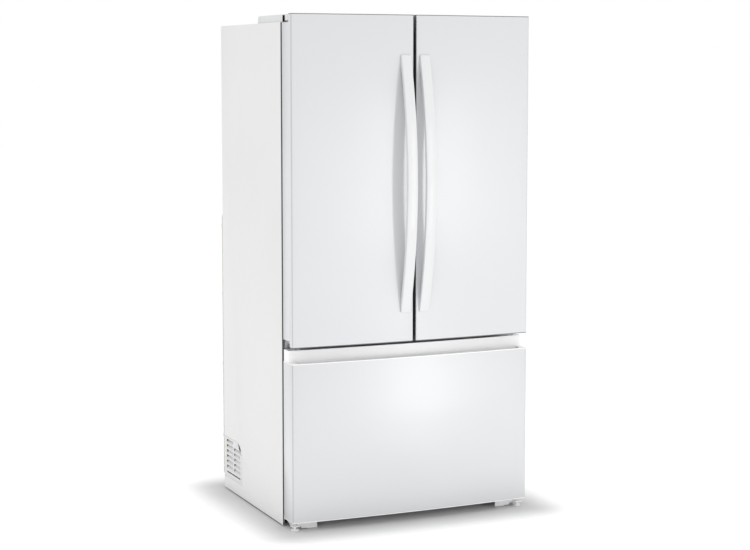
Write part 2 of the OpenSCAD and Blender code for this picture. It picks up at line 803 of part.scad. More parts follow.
module condenser_fan_mount() color(dark) {
    shroud = 62;
    x = [cond_fan[0] - 14, cond_fan[0] + 14];
    difference() {
        block(x, [cond_fan[1] - shroud, cond_fan[1] + shroud],
              [cond_fan[2] - shroud, cond_fan[2] + shroud]);
        rod_x([x[0] - 1, x[1] + 1], cond_fan[1], cond_fan[2], fan_r + 4);
    }
    block([x[1] - 4, x[1]], [cond_fan[1] - shroud, cond_fan[1] + shroud],
          [cond_fan[2] - 5, cond_fan[2] + 5]);
    rod_x([x[0] + 14, x[1]], cond_fan[1], cond_fan[2], 14);
    rod_x([x[0] + 1, x[0] + 14], cond_fan[1], cond_fan[2], fan_shaft_r);
    block([x[0], x[1]], [cond_fan[1] - 30, cond_fan[1] + 30], [machine_z[0],
          cond_fan[2] - shroud]);
}

module condenser_fan() color(steel) {
    at(cond_fan[0] - 12, cond_fan[1], cond_fan[2]) rotate([0, 90, 0]) fan_wheel(fan_r, 9);
}

// ---------- Upper doors, drawn for the right-hand side ----------

module door_pocket_upper() {
    block([pocket_in, half_w + 1], [pocket_y, door_t + 1], [pocket_floor, door_top + 1]);
}

module door_pocket_lower() {
    r = 7;
    slab_x([pocket_in, half_w + 1], concat(
        [[door_t + 1, door_bottom - 1], [door_t + 1, pocket_roof]],
        arc([pocket_y + r, pocket_roof - r], r, 90, 180, 5),
        [[pocket_y, door_bottom - 1]]));
}

module door_skin() color(white) {
    back = door_t - 2;
    difference() {
        slab_z([door_bottom + cap_lip, door_top - cap_lip],
               front_plan(door_x[0], door_x[1], 0, back));
        slab_z([door_bottom, door_top],
               front_plan(door_x[0] + skin, door_x[1] - skin, skin, back + 1, 2));
        door_pocket_upper();
        door_pocket_lower();
    }
}

// Blocks at the hinge corners that carry the pin bores
module hinge_blocks() {
    intersection() {
        slab_z([door_bottom, door_top],
               front_plan(door_x[0] + skin, door_x[1] - skin, skin, door_t - 2, 2));
        for (z = [[door_bottom + cap_lip, pocket_roof + 14], [pocket_floor - 14,
                  door_top - cap_lip]])
            block([half_w - hinge_block_w, half_w], [-front_bow, door_t], z);
    }
}

module door_caps() color(white) {
    difference() {
        union() {
            for (z = [[door_bottom, door_bottom + cap_lip], [door_top - cap_lip, door_top]])
                slab_z(z, front_plan(door_x[0], door_x[1], 0, door_t - 2));
            for (z = [[door_bottom + cap_lip, door_bottom + cap_h],
                      [door_top - cap_h, door_top - cap_lip]])
                slab_z(z, front_plan(door_x[0] + skin, door_x[1] - skin, skin, door_t - 2, 2));
            hinge_blocks();
        }
        door_pocket_upper();
        door_pocket_lower();
        rod_z(pin_x, pin_y, [pocket_floor - 15, pocket_floor + 1], pin_r + pin_play);
        rod_z(pin_x, pin_y, [pocket_roof - 1, pocket_roof + 15], pin_r + pin_play);
    }
}

module door_foam() color([0.95, 0.88, 0.62]) {
    difference() {
        slab_z([door_bottom + cap_h, door_top - cap_h],
               front_plan(door_x[0] + skin, door_x[1] - skin, skin, door_t - 2, 2));
        hinge_blocks();
        door_pocket_upper();
        door_pocket_lower();
    }
}

module door_liner() color(liner_white) {
    z = [door_seal_z[0] + 28, door_seal_z[1] - 24];
    difference() {
        block([door_x[0] + 1, door_x[1] - 1], [door_t - 2, door_t], [door_bottom, door_top]);
        door_pocket_upper();
        door_pocket_lower();
    }
    for (i = [0, 2]) block([dyke_x[i], dyke_x[i + 1]], [door_t, door_t + dyke_t], z);
}

module door_gasket() color(dark) {
    x = [door_x[0] + 2, half_w - 22.5];
    ring(x, [door_t, door_t + 5], door_seal_z, seal_w);
    ring([x[0] + 1.5, x[1] - 1.5], [door_t + 5, door_t + seal_t],
         [door_seal_z[0] + 1.5, door_seal_z[1] - 1.5], seal_w - 3);
}

module door_bins(heights) color(clear_blue) {
    x = [dyke_x[1], dyke_x[2]];
    for (z = heights) tray(x, [door_t, door_t + bin_d], [z, z + bin_h], 3);
}

// Depth of a handle's front at height z
function handle_front(z) =
    let (t = (z - handle_bottom - handle_len / 2) / (handle_len / 2))
    handle_back - handle_end_reach - (handle_reach - handle_end_reach) * (1 - t * t);

// Bowed bar, flat against the door at both ends
module door_handle() color(white) {
    steps = 28;
    bar_z = [for (i = [0 : steps]) handle_bottom + handle_len * i / steps];
    front = [for (z = bar_z) [handle_front(z), z]];
    rear = [for (i = [steps : -1 : 0])
        [min(handle_back, handle_front(bar_z[i]) + handle_t), bar_z[i]]];
    slab_x([handle_x - handle_w / 2, handle_x + handle_w / 2], concat(front, rear));
}

module door_left_skin() on_side(-1) door_skin();
module door_left_foam() on_side(-1) door_foam();
module door_left_caps() on_side(-1) door_caps();
module door_left_gasket() on_side(-1) door_gasket();
module door_left_bins() on_side(-1) door_bins(left_bins);
module door_left_handle() on_side(-1) door_handle();
module door_right_skin() on_side(1) door_skin();
module door_right_foam() on_side(1) door_foam();
module door_right_caps() on_side(1) door_caps();
module door_right_liner() on_side(1) door_liner();
module door_right_gasket() on_side(1) door_gasket();
module door_right_bins() on_side(1) door_bins(right_bins);
module door_right_handle() on_side(1) door_handle();

// The left liner also carries the knuckles of the folding mullion
module door_left_liner() color(liner_white) {
    on_side(-1) door_liner();
    for (z = mull_hinges) {
        block([-dyke_x[0] - 1, mull_x], [mull_y - 4, mull_y + 4], [z, z + mull_knuckle_h]);
        rod_z(mull_x, mull_y, [z, z + mull_knuckle_h], 6);
        rod_z(mull_x, mull_y, [z - 8, z + mull_knuckle_h + 8], mull_pin_r);
    }
}

// Bar with its hinged edge rounded about the pin, so that it clears the seal as it turns
module flipper_mullion() color(liner_white) {
    difference() {
        union() {
            block([mull_x - mull_w / 2, mull_x + mull_w / 2],
                  [mull_y, mull_y + mull_len - mull_w / 2], mull_z);
            rod_z(mull_x, mull_y, mull_z, mull_w / 2);
        }
        for (z = mull_hinges) {
            block([mull_x - 10, mull_x + 10], [mull_y - 10, mull_y + 10.5],
                  [z - 1, z + mull_knuckle_h + 1]);
            rod_z(mull_x, mull_y, [z - 10, z + mull_knuckle_h + 10], mull_pin_r + pin_play);
        }
    }
}

// ---------- Freezer drawer ----------

module drawer_skin() color(white) {
    back = door_t - 2;
    difference() {
        slab_z([drawer_bottom + cap_lip, pocket_top], front_plan(-half_w, half_w, 0, back,
               steps = 28));
        slab_z([drawer_bottom, drawer_top],
               front_plan(-half_w + skin, half_w - skin, skin, back + 1, 2, 28));
    }
}

module drawer_foam() color([0.95, 0.88, 0.62]) {
    slab_z([drawer_bottom + cap_h, pocket_bottom],
           front_plan(-half_w + skin, half_w - skin, skin, door_t - 2, 2, 28));
}

// Moulded band with the finger groove behind the drawer front's top edge, and the bottom cap
module drawer_pocket() color(white) {
    inner = front_plan(-half_w + skin, half_w - skin, skin, door_t - 2, 2, 28);
    difference() {
        union() {
            slab_z([pocket_bottom, pocket_top], inner);
            slab_z([pocket_top, drawer_top], front_plan(-half_w, half_w, 0, door_t - 2,
                   steps = 28));
            slab_z([drawer_top, band_top], front_plan(-half_w + 2.5, half_w - 2.5, band_setback,
                   door_t - 2, 3, 28));
        }
        intersection() {
            block([-half_w + groove_end, half_w - groove_end], [-front_bow, door_t],
                  [pocket_bottom + 8, drawer_top + 1]);
            difference() {
                slab_z([pocket_bottom, band_top], front_plan(-half_w, half_w, front_lip,
                       door_t, 3, 28));
                slab_z([pocket_bottom - 1, band_top + 1], front_plan(-half_w, half_w,
                       band_setback, door_t + 1, 3, 28));
            }
        }
    }
    slab_z([drawer_bottom, drawer_bottom + cap_lip], front_plan(-half_w, half_w, 0, door_t - 2,
           steps = 28));
    slab_z([drawer_bottom + cap_lip, drawer_bottom + cap_h], inner);
}

module drawer_liner() color(liner_white) {
    block([-half_w + 2.5, half_w - 2.5], [door_t - 2, door_t], [drawer_bottom, band_top]);
    rib_x = freezer_x - 24;
    ring([-rib_x, rib_x], [door_t, door_t + 8], [86, 592], 20);
}

module drawer_gasket() color(dark) {
    x = freezer_x + 20;
    ring([-x, x], [door_t, door_t + 5], drawer_seal_z, seal_w);
    ring([-x + 1.5, x - 1.5], [door_t + 5, door_t + seal_t],
         [drawer_seal_z[0] + 1.5, drawer_seal_z[1] - 1.5], seal_w - 3);
}

// Inner slide members, their door brackets and the cross tie
module drawer_frame() color(steel) {
    both_sides() {
        block([slide_x[0], slide_x[1]], [door_t, rail_y[0] + 412],
              [rail_z[0] + 6, rail_z[1] - 6]);
        block([slide_x[0], slide_x[1]], [door_t, door_t + 3], [rail_z[0] - 60, rail_z[1] + 60]);
        slab_x([slide_x[0], slide_x[0] + 3], [[door_t, rail_z[0] - 50], [door_t, rail_z[1] + 50],
               [door_t + 60, rail_z[1] - 6], [door_t + 60, rail_z[0] + 6]]);
    }
    block([-slide_x[0], slide_x[0]], [rail_y[0] + 396, rail_y[0] + 412],
          [rail_z[0] + 10, rail_z[1] - 10]);
}

module lower_basket() color(white) {
    x = slide_x[0] - 13;
    top = rail_z[1] - 3;
    difference() {
        tray([-x, x], basket_y, [85, top], 3);
        for (x_slot = [-320 : 40 : 320], z = [130, 210])
            block([x_slot - 10, x_slot + 10], [basket_y[0] - 1, basket_y[0] + 4], [z, z + 56]);
    }
    both_sides() block([x, slide_x[1] - 1], [door_t + 62, basket_y[1]],
                       [rail_z[1] - 5.7, top]);
}

cabinet_shell();
front_frame();
rear_panel();
base_frame();
cabinet_foam();
fridge_liner();
freezer_liner();
door_hinges();
hinge_covers();
hinge_screws();
foot_brackets();
side_vents();
shelf_frames();
shelf_glass();
air_duct_cover();
control_panel();
lamp_lens();
evaporator_cover();
evaporator_coil();
compressor();
condenser_coil();
condenser_fan_mount();
machine_cover();
water_valve();
water_tube();
rear_fittings();
freezer_rails();
ice_maker();
door_left_skin();
door_left_foam();
door_left_caps();
door_left_liner();
door_left_gasket();
door_left_bins();
door_left_handle();
door_right_skin();
door_right_foam();
door_right_caps();
door_right_liner();
door_right_gasket();
door_right_bins();
door_right_handle();
flipper_mullion();
drawer_skin();
drawer_foam();
drawer_pocket();
drawer_liner();
drawer_gasket();
drawer_frame();
lower_basket();
rail_sliders();
upper_basket();
left_crisper();
right_crisper();
front_rollers();
rear_rollers();
left_foot();
right_foot();
evaporator_fan();
condenser_fan();
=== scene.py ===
import json
import math

import bmesh
import bpy
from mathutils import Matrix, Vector


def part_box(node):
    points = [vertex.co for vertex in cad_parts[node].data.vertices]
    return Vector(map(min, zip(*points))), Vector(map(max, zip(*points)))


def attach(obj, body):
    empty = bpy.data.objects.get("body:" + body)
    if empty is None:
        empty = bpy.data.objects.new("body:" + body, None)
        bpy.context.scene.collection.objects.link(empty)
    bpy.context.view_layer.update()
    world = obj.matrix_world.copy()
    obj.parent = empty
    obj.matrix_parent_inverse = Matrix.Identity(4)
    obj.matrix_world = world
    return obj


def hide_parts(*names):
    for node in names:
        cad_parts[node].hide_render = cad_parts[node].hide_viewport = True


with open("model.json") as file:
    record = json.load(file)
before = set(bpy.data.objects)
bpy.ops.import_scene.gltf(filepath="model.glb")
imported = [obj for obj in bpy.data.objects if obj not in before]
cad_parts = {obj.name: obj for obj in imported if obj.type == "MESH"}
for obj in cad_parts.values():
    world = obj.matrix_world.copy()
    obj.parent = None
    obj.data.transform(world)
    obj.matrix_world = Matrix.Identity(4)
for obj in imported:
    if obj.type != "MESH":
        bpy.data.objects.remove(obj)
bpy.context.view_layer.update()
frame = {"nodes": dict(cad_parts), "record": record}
scene = bpy.context.scene
nodes = frame["nodes"]
record = frame["record"]

MM = 0.001
DOOR_THICKNESS = 86 * MM
body_of = {n: body for body, names in record["behaviour"]["bodies"].items() for n in names}
slot_of = {part["node"]: part["material_slot"] for part in record["subparts"]}

# ---------- Materials ----------


class Tree:
    """A material's node tree, with short ways to add the nodes that every finish needs."""

    def __init__(self, name):
        self.material = bpy.data.materials.new(name)
        self.material.use_nodes = True
        self.nodes = self.material.node_tree.nodes
        self.links = self.material.node_tree.links
        self.shader = self.nodes["Principled BSDF"]
        self.place = self.add("ShaderNodeTexCoord").outputs["Object"]

    def add(self, kind, **settings):
        node = self.nodes.new(kind)
        for key, value in settings.items():
            setattr(node, key, value)
        return node

    def join(self, output, socket):
        self.links.new(output, socket)

    def noise(self, scale, detail=3.0, roughness=0.55, stretch=None):
        node = self.add("ShaderNodeTexNoise")
        node.inputs["Scale"].default_value = scale
        node.inputs["Detail"].default_value = detail
        node.inputs["Roughness"].default_value = roughness
        self.join(self.stretched(stretch), node.inputs["Vector"])
        return node.outputs["Fac"]

    def cells(self, scale):
        node = self.add("ShaderNodeTexVoronoi")
        node.inputs["Scale"].default_value = scale
        self.join(self.place, node.inputs["Vector"])
        return node

    def stretched(self, stretch):
        if stretch is None:
            return self.place
        node = self.add("ShaderNodeMapping")
        node.inputs["Scale"].default_value = stretch
        self.join(self.place, node.inputs["Vector"])
        return node.outputs["Vector"]

    def axes(self, value=None):
        """Separate X, Y and Z of a vector or colour, by default of the place on the object."""
        node = self.add("ShaderNodeSeparateXYZ")
        self.join(value or self.place, node.inputs["Vector"])
        return node.outputs

    def spread(self, value, low, high, source=(0.3, 0.7)):
        """A value in the source range, moved to the range from low to high and held within it."""
        node = self.add("ShaderNodeMapRange")
        node.inputs["From Min"].default_value = source[0]
        node.inputs["From Max"].default_value = source[1]
        node.inputs["To Min"].default_value = low
        node.inputs["To Max"].default_value = high
        self.join(value, node.inputs["Value"])
        return node.outputs["Result"]

    def math(self, operation, a, b):
        node = self.add("ShaderNodeMath", operation=operation)
        for value, socket in zip((a, b), node.inputs):
            if isinstance(value, (int, float)):
                socket.default_value = value
            else:
                self.join(value, socket)
        return node.outputs["Value"]

    def mix(self, factor, a, b):
        node = self.add("ShaderNodeMix", data_type="RGBA")
        self.join(factor, node.inputs["Factor"])
        for value, socket in ((a, node.inputs[6]), (b, node.inputs[7])):
            if isinstance(value, tuple):
                socket.default_value = (*value, 1.0)
            else:
                self.join(value, socket)
        return node.outputs[2]

    def bump(self, height, strength, distance, previous=None):
        node = self.add("ShaderNodeBump")
        node.inputs["Strength"].default_value = strength
        node.inputs["Distance"].default_value = distance
        self.join(height, node.inputs["Height"])
        if previous is not None:
            self.join(previous, node.inputs["Normal"])
        return node.outputs["Normal"]

    def shade(self, colour, roughness, normal, **values):
        self.join(colour, self.shader.inputs["Base Color"])
        self.join(roughness, self.shader.inputs["Roughness"])
        self.join(normal, self.shader.inputs["Normal"])
        for key, value in values.items():
            self.shader.inputs[key.replace("_", " ")].default_value = value
        return self.material


def scaled(colour, share):
    """The colour made darker or lighter by a share, without passing white."""
    return tuple(min(1.0, c * share) for c in colour)


# Painted shade: dark tone of the strip along the doors' inner edges, standing in for the shade in
# the gap between them.
DOOR_GAP_SHADE_TONE = 0.13


def enamel(name, colour, rough, grain, depth, variation=0.02, corner_shade=0.0, **values):
    """Painted or moulded surface: slow tone drift, a fine grain and a patchy sheen.

    A corner shade share above 0 also paints shade on the doors' outer corners, and a strip of
    painted shade on their inner edges.
    """
    t = Tree(name)
    drift = t.spread(t.noise(2.2, 2.0), 0.0, 1.0)
    tone = t.mix(drift, scaled(colour, 1.0 - variation), scaled(colour, 1.0 + variation))
    if corner_shade:
        # Painted shade: a thin darker line on the rounded outer corners of the doors and drawer.
        tone = t.mix(corner_shade_mask(t), tone, scaled(colour, corner_shade))
        # Painted shade in the gap between the two doors.
        tone = t.mix(door_gap_shade_mask(t), tone, scaled(colour, DOOR_GAP_SHADE_TONE))
    sheen = t.spread(t.noise(34.0, 4.0), rough * 0.88, rough * 1.12)
    fine = t.bump(t.noise(grain, 2.5, 0.6), 0.35, depth)
    wide = t.bump(t.noise(grain * 0.16, 1.5), 0.2, depth * 1.6, fine)
    return t.shade(tone, sheen, wide, **values)


def corner_shade_mask(t):
    """1 on the rounded vertical corners of the doors' and the drawer's outer edges, where a thin
    line of painted shade darkens the paint.
    """
    axes = t.axes()
    fade = 2 * MM
    half_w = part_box("cabinet_shell")[1].x
    side_start = half_w - 4.2 * MM
    front_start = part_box("drawer_frame")[0].y - DOOR_THICKNESS + 2.6 * MM
    side = t.math("ABSOLUTE", axes["X"], 0.0)
    near_side = t.spread(side, 0.0, 1.0, (side_start, side_start + fade))
    near_front = t.spread(axes["Y"], 1.0, 0.0, (front_start, front_start + fade))
    return t.math("MULTIPLY", near_side, near_front)


def door_gap_shade_mask(t):
    """1 on the strip of painted shade along the edges where the two upper doors meet."""
    axes = t.axes()
    door_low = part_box("door_right_skin")[0]
    above_drawer = (0.60, 0.61)
    near = t.spread(t.math("ABSOLUTE", axes["X"], 0.0), 1.0, 0.0,
                    (door_low.x + 0.1 * MM, door_low.x + 0.4 * MM))
    behind = t.spread(axes["Y"], 0.0, 1.0, (door_low.y + 3.0 * MM, door_low.y + 5.0 * MM))
    above = t.spread(axes["Z"], 0.0, 1.0, above_drawer)
    return t.math("MULTIPLY", t.math("MULTIPLY", near, behind), above)


def metal(name, colour, rough, spangle, contrast, depth):
    """Bare or plated metal with crystal patches, rolling marks and a dull bloom."""
    t = Tree(name)
    patches = t.axes(t.cells(spangle).outputs["Color"])["X"]
    tone = t.mix(patches, scaled(colour, 1.0 - contrast), scaled(colour, 1.0 + contrast))
    bloom = t.spread(t.noise(18.0, 5.0, 0.65), 0.0, 0.35)
    tone = t.mix(bloom, tone, scaled(colour, 0.62))
    sheen = t.spread(patches, rough * 0.8, rough * 1.25, (0.0, 1.0))
    marks = t.bump(t.noise(160.0, 3.0, stretch=(1.0, 1.0, 0.08)), 0.3, depth)
    return t.shade(tone, sheen, marks, Metallic=1.0)


def clear(name, colour, rough, ripple, depth, transmission, ior=1.5, **values):
    """Glass or see-through plastic with a faint ripple and smudges."""
    t = Tree(name)
    tint = t.mix(t.spread(t.noise(3.0, 2.0), 0.0, 1.0), colour, scaled(colour, 0.96))
    smudge = t.spread(t.noise(12.0, 5.0, 0.7), rough * 0.6, rough * 1.6)
    wave = t.bump(t.noise(ripple, 1.5), 0.15, depth)
    return t.shade(tint, smudge, wave, Transmission_Weight=transmission, IOR=ior, **values)


def insulation(name):
    """Yellowish rigid foam with a skin of small cells."""
    t = Tree(name)
    cell = t.cells(420.0)
    tone = t.mix(cell.outputs["Distance"], (0.80, 0.70, 0.46), (0.62, 0.50, 0.28))
    sheen = t.spread(t.noise(60.0), 0.85, 0.98)
    return t.shade(tone, sheen, t.bump(cell.outputs["Distance"], 0.7, 0.4 * MM))


def rubber(name):
    """Soft extruded seal with draw marks along it and a dusty bloom."""
    t = Tree(name)
    dust = t.spread(t.noise(26.0, 5.0, 0.7), 0.0, 0.6)
    tone = t.mix(dust, (0.060, 0.062, 0.066), (0.120, 0.122, 0.126))
    sheen = t.spread(t.noise(70.0, 3.0), 0.5, 0.7)
    draw = t.bump(t.noise(500.0, 2.0, stretch=(1.0, 1.0, 0.05)), 0.3, 0.15 * MM)
    return t.shade(tone, sheen, draw)


materials = {
    # The 0.78 share paints shade on the rounded outer corners of the doors and drawer.
    "door_paint": enamel("door_paint", (0.68, 0.692, 0.707), 0.38, 900.0, 0.035 * MM,
                         0.008, 0.78, Coat_Weight=1.0, Coat_Roughness=0.26),
    "panel_paint": enamel("panel_paint", (0.81, 0.81, 0.808), 0.52, 620.0, 0.16 * MM, 0.012),
    # Dark grey caps. On the doors' bottoms their darkness also stands in for the shade in the gap
    # above the drawer, as painted shade.
    "cap_plastic": enamel("cap_plastic", (0.17, 0.174, 0.18), 0.45, 600.0, 0.08 * MM, 0.05),
    "band_plastic": enamel("band_plastic", (0.96, 0.96, 0.965), 0.35, 700.0, 0.04 * MM, 0.01,
                           Coat_Weight=1.0, Coat_Roughness=0.26),
    # Near-black front frame: painted shade, so that the gaps round the doors and drawer read
    # dark.
    "frame_paint": enamel("frame_paint", (0.09, 0.092, 0.096), 0.5, 500.0, 0.1 * MM, 0.15),
    "white_wire": enamel("white_wire", (0.80, 0.80, 0.80), 0.3, 300.0, 0.06 * MM, 0.02),
    "bracket_paint": enamel("bracket_paint", (0.90, 0.90, 0.90), 0.38, 420.0, 0.08 * MM, 0.04),
    "liner": enamel("liner", (0.82, 0.83, 0.84), 0.28, 240.0, 0.05 * MM, 0.012,
                    Subsurface_Weight=0.05),
    "trim": enamel("trim", (0.74, 0.745, 0.75), 0.45, 760.0, 0.1 * MM, 0.015),
    "handle": enamel("handle", (0.75, 0.755, 0.76), 0.4, 800.0, 0.05 * MM, 0.012,
                     Coat_Weight=0.15),
    "basket_plastic": enamel("basket_plastic", (0.80, 0.82, 0.84), 0.36, 300.0, 0.06 * MM, 0.02,
                             Transmission_Weight=0.18),
    "black_plastic": enamel("black_plastic", (0.022, 0.022, 0.024), 0.5, 520.0, 0.14 * MM, 0.2),
    "tube_plastic": enamel("tube_plastic", (0.60, 0.66, 0.61), 0.34, 200.0, 0.05 * MM, 0.03,
                           Subsurface_Weight=0.2),
    "galvanised": metal("galvanised", (0.60, 0.61, 0.62), 0.42, 110.0, 0.16, 0.03 * MM),
    "dark_steel": metal("dark_steel", (0.045, 0.046, 0.05), 0.48, 240.0, 0.2, 0.05 * MM),
    "copper": metal("copper", (0.70, 0.34, 0.20), 0.3, 60.0, 0.12, 0.03 * MM),
    "coil_aluminium": metal("coil_aluminium", (0.72, 0.73, 0.74), 0.36, 90.0, 0.08, 0.03 * MM),
    "shelf_glass": clear("shelf_glass", (0.88, 0.96, 0.93), 0.03, 9.0, 0.05 * MM, 1.0),
    "clear_plastic": clear("clear_plastic", (0.93, 0.96, 0.98), 0.09, 22.0, 0.1 * MM, 0.94),
    "frosted_plastic": clear("frosted_plastic", (0.94, 0.95, 0.96), 0.5, 300.0, 0.1 * MM, 0.7),
    "foam": insulation("foam"),
    "seal": rubber("seal"),
}

# ---------- CAD nodes: finish and softened edges ----------


SHARP_EDGE = math.radians(32)
FLAT_JOINT = math.radians(0.05)
BEVEL_FROM = math.radians(40)
WELD_WITHIN = 0.02 * MM
BEVEL_ELSEWHERE_MM = 0.4
NO_BEVEL = {"drawer_pocket", "cabinet_foam", "door_left_foam", "door_right_foam", "drawer_foam",
            "compressor", "evaporator_coil", "condenser_coil", "water_tube", "evaporator_fan",
            "condenser_fan"}
BEVEL_MM = {"cabinet_shell": 1.2, "hinge_covers": 1.2, "door_left_skin": 0.35,
            "door_right_skin": 0.35, "drawer_skin": 0.35, "door_left_caps": 0.7,
            "door_right_caps": 0.7, "side_vents": 0.25, "foot_brackets": 0.5,
            "shelf_glass": 0.6, "left_crisper": 0.9, "right_crisper": 0.9,
            "door_left_bins": 0.9, "door_right_bins": 0.9, "flipper_mullion": 2.0,
            "door_left_liner": 2.5, "door_right_liner": 2.5, "upper_basket": 0.9,
            "lower_basket": 0.9, "ice_maker": 1.0, "control_panel": 1.2}


def smooth_by_angle():
    """Geometry nodes that shade smooth, but keep the sharp edges."""
    tree = bpy.data.node_groups.new("smooth_by_angle", "GeometryNodeTree")
    for direction in ("INPUT", "OUTPUT"):
        tree.interface.new_socket("Geometry", in_out=direction, socket_type="NodeSocketGeometry")
    start = tree.nodes.new("NodeGroupInput")
    end = tree.nodes.new("NodeGroupOutput")
    faces = tree.nodes.new("GeometryNodeSetShadeSmooth")
    edges = tree.nodes.new("GeometryNodeSetShadeSmooth")
    edges.domain = "EDGE"
    angle = tree.nodes.new("GeometryNodeInputMeshEdgeAngle")
    flat_enough = tree.nodes.new("ShaderNodeMath")
    flat_enough.operation = "LESS_THAN"
    flat_enough.inputs[1].default_value = SHARP_EDGE
    tree.links.new(start.outputs[0], faces.inputs["Geometry"])
    tree.links.new(faces.outputs[0], edges.inputs["Geometry"])
    tree.links.new(angle.outputs["Unsigned Angle"], flat_enough.inputs[0])
    tree.links.new(flat_enough.outputs[0], edges.inputs["Shade Smooth"])
    tree.links.new(edges.outputs[0], end.inputs[0])
    return tree


SMOOTH = smooth_by_angle()


def soften(name, node):
    """Modifiers that round a CAD node's sharp edges a little, and shade it smooth."""
    weld = node.modifiers.new("weld", "WELD")
    weld.merge_threshold = WELD_WITHIN
    if name not in NO_BEVEL:
        flat = node.modifiers.new("flat", "DECIMATE")
        flat.decimate_type = "DISSOLVE"
        flat.angle_limit = FLAT_JOINT
        bevel = node.modifiers.new("bevel", "BEVEL")
        bevel.width = BEVEL_MM.get(name, BEVEL_ELSEWHERE_MM) * MM
        bevel.segments = 2
        bevel.limit_method = "ANGLE"
        bevel.angle_limit = BEVEL_FROM
        bevel.use_clamp_overlap = True
    smooth = node.modifiers.new("smooth", "NODES")
    smooth.node_group = SMOOTH


for name, node in nodes.items():
    material = materials[slot_of[name]]
    if not node.material_slots:
        node.data.materials.append(material)
    for place in node.material_slots:
        place.material = material
    soften(name, node)

# ---------- New pieces ----------


def add_piece(name, points, faces, replaced):
    """A closed mesh that stands for one CAD node and takes its body and finish."""
    mesh = bpy.data.meshes.new(name)
    mesh.from_pydata(points, [], faces)
    shape = bmesh.new()
    shape.from_mesh(mesh)
    bmesh.ops.recalc_face_normals(shape, faces=shape.faces)
    shape.to_mesh(mesh)
    shape.free()
    mesh.polygons.foreach_set("use_smooth", [True] * len(mesh.polygons))
    mesh.set_sharp_from_angle(angle=math.radians(35))
    mesh.materials.append(materials[slot_of[replaced]])
    piece = bpy.data.objects.new(name, mesh)
    scene.collection.objects.link(piece)
    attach(piece, body_of[replaced])
    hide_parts(replaced)


def bands(count, n):
    """Faces from each ring of n points to the next, and from the last one to the first."""
    faces = []
    for i in range(count):
        k = (i + 1) % count
        for j in range(n):
            m = (j + 1) % n
            faces.append((i * n + j, i * n + m, k * n + m, k * n + j))
    return faces


def loft(rings):
    """Faces between rings of the same number of points, with both ends closed."""
    n = len(rings[0])
    last = (len(rings) - 1) * n
    faces = bands(len(rings), n)[:-n]
    faces += [tuple(range(n)), tuple(range(last, last + n))]
    return [p for ring in rings for p in ring], faces


def rounded_section(x0, x1, y0, y1, z, r):
    """Rounded rectangle at height z, with corners no rounder than its sides leave room for."""
    steps = 5
    widest_share = 2.05
    r = min(r, (x1 - x0) / widest_share, (y1 - y0) / widest_share)
    corners = ((x1 - r, y1 - r, 0), (x0 + r, y1 - r, 90), (x0 + r, y0 + r, 180),
               (x1 - r, y0 + r, 270))
    points = []
    for cx, cy, start in corners:
        for i in range(steps + 1):
            a = math.radians(start + 90 * i / steps)
            points.append((cx + r * math.cos(a), cy + r * math.sin(a), z))
    return points


def bowed_handle(side):
    """Bar that bows away from the door, with rounded edges and softened wedge ends."""
    cad = f"door_{side}_handle"
    low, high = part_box(cad)
    end_reach = 6 * MM
    thickness = 15 * MM
    edge = 3.2 * MM
    end_round = 2.0 * MM
    front_share = 0.8
    steps = 110
    bottom = [(low.z + end_round * (1 - math.cos(math.radians(a))),
               end_round * (1 - math.sin(math.radians(a)))) for a in (0, 22, 45, 67)]
    middle = [(low.z + end_round + (high.z - low.z - 2 * end_round) * i / steps, 0.0)
              for i in range(steps + 1)]
    top = [(high.z - (z - low.z), inset) for z, inset in reversed(bottom)]
    rings = []
    for z, inset in bottom + middle + top:
        t = (z - (low.z + high.z) / 2) / ((high.z - low.z) / 2)
        front = high.y - end_reach - (high.y - end_reach - low.y) * (1 - t * t)
        rear = min(high.y, front + thickness)
        rings.append(rounded_section(low.x + inset, high.x - inset,
                                     front + inset * front_share, rear, z, edge))
    add_piece(f"handle_{side}", *loft(rings), cad)


def bellows_gasket(cad, name):
    """Magnetic seal: a flat foot, a folded bellows and a soft face, mitred at the corners.

    One side of its section runs from foot to face, in millimetres in from the edge and as a
    share of the seal's height.
    """
    low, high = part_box(cad)
    width = 12 * MM
    height = high.y - low.y
    side = [(0.0, 0.0), (0.0, 0.16), (0.9, 0.22), (1.6, 0.27), (1.2, 0.34), (0.4, 0.42),
            (0.4, 0.48), (1.7, 0.56), (1.9, 0.61), (0.8, 0.70), (0.7, 0.78), (1.0, 0.90),
            (2.0, 0.98), (3.2, 1.0)]
    profile = [(u * MM, v * height) for u, v in side]
    profile += [(width - u, v) for u, v in reversed(profile)]
    rings = []
    for u, v in profile:
        y = low.y + v
        rings.append([(low.x + u, y, low.z + u), (high.x - u, y, low.z + u),
                      (high.x - u, y, high.z - u), (low.x + u, y, high.z - u)])
    add_piece(name, [p for ring in rings for p in ring], bands(len(rings), 4), cad)


for side in ("left", "right"):
    bowed_handle(side)
    bellows_gasket(f"door_{side}_gasket", f"seal_{side}")
bellows_gasket("drawer_gasket", "seal_drawer")

# ---------- Floor, light and camera ----------


FAR_FADE = (1.0, 2.6)
# Painted contact shadow on the floor: how far it reaches, and how dark it is at the object's
# edge.
CONTACT_SHADOW_REACH = 0.2
CONTACT_SHADOW_TONE = 0.68
NEAR_GLOW = 0.25
POOL_GLOW = 1.6


def outside_footprint(t):
    """Distance on the floor from the rectangle that the object stands over."""
    axes = t.axes()
    half_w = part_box("cabinet_shell")[1].x
    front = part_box("drawer_skin")[0].y
    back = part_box("rear_panel")[1].y
    from_middle = t.math("ABSOLUTE", t.math("SUBTRACT", axes["Y"], (front + back) / 2), 0.0)
    beside = t.math("MAXIMUM", t.math("SUBTRACT", t.math("ABSOLUTE", axes["X"], 0.0), half_w),
                    0.0)
    beyond = t.math("MAXIMUM", t.math("SUBTRACT", from_middle, (back - front) / 2), 0.0)
    return t.math("SQRT", t.math("ADD", t.math("MULTIPLY", beside, beside),
                                 t.math("MULTIPLY", beyond, beyond)), 0.0)


